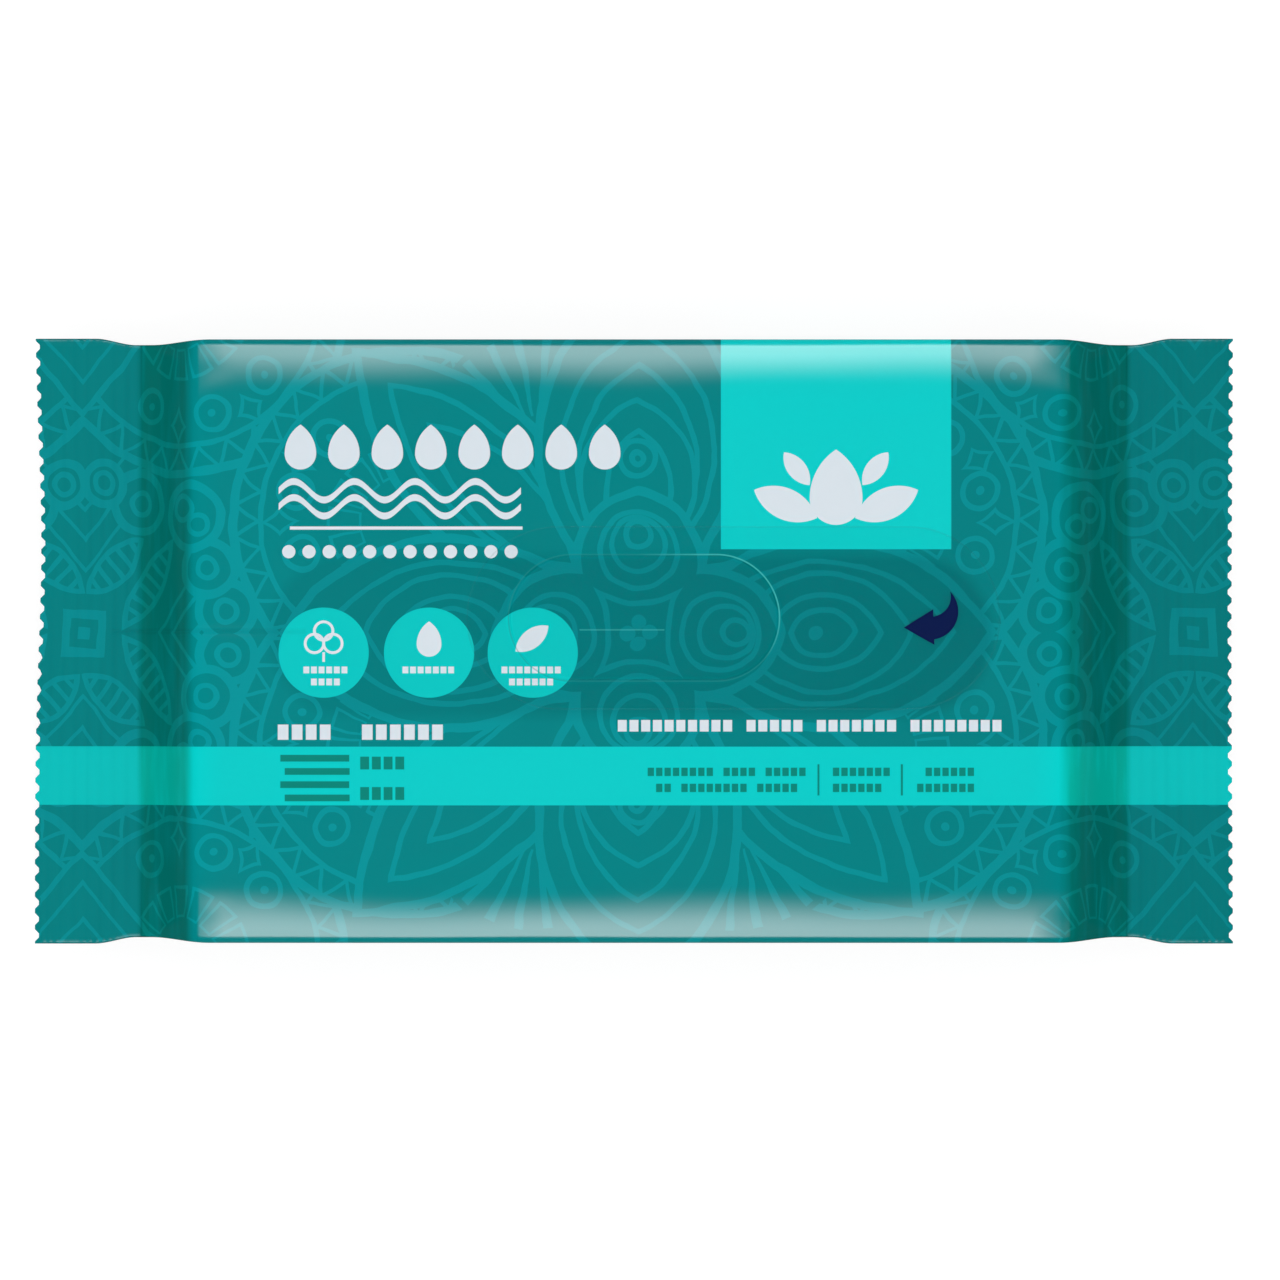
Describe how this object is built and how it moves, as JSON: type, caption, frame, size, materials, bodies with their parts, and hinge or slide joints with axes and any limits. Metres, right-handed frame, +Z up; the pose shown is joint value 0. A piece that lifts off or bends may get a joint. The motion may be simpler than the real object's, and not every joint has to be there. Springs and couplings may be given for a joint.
{
  "type": "wet wipes pack",
  "caption": "Sealed flow pack of wet wipes: a soft printed film wrapper with tucked, crimped zigzag ends, and a clear resealable label over a die-cut opening.",
  "frame": {"origin": "under the pack's centre, on the surface that its back panel lies on", "axes": "+X along the pack towards the label's pull end, +Y across it towards the upper long edge of the printed front, +Z up out of the front panel"},
  "size_m": [0.15, 0.0756, 0.0161],
  "materials": {
    "printed_film": "satin printed film, teal with a paler tone-on-tone ornament",
    "clear_label": "clear glossy film with one printed arrow"
  },
  "bodies": {
    "root": {"film_wrapper": "printed_film", "opening_flap": "printed_film", "reseal_label": "clear_label"}
  },
  "joints": []
}
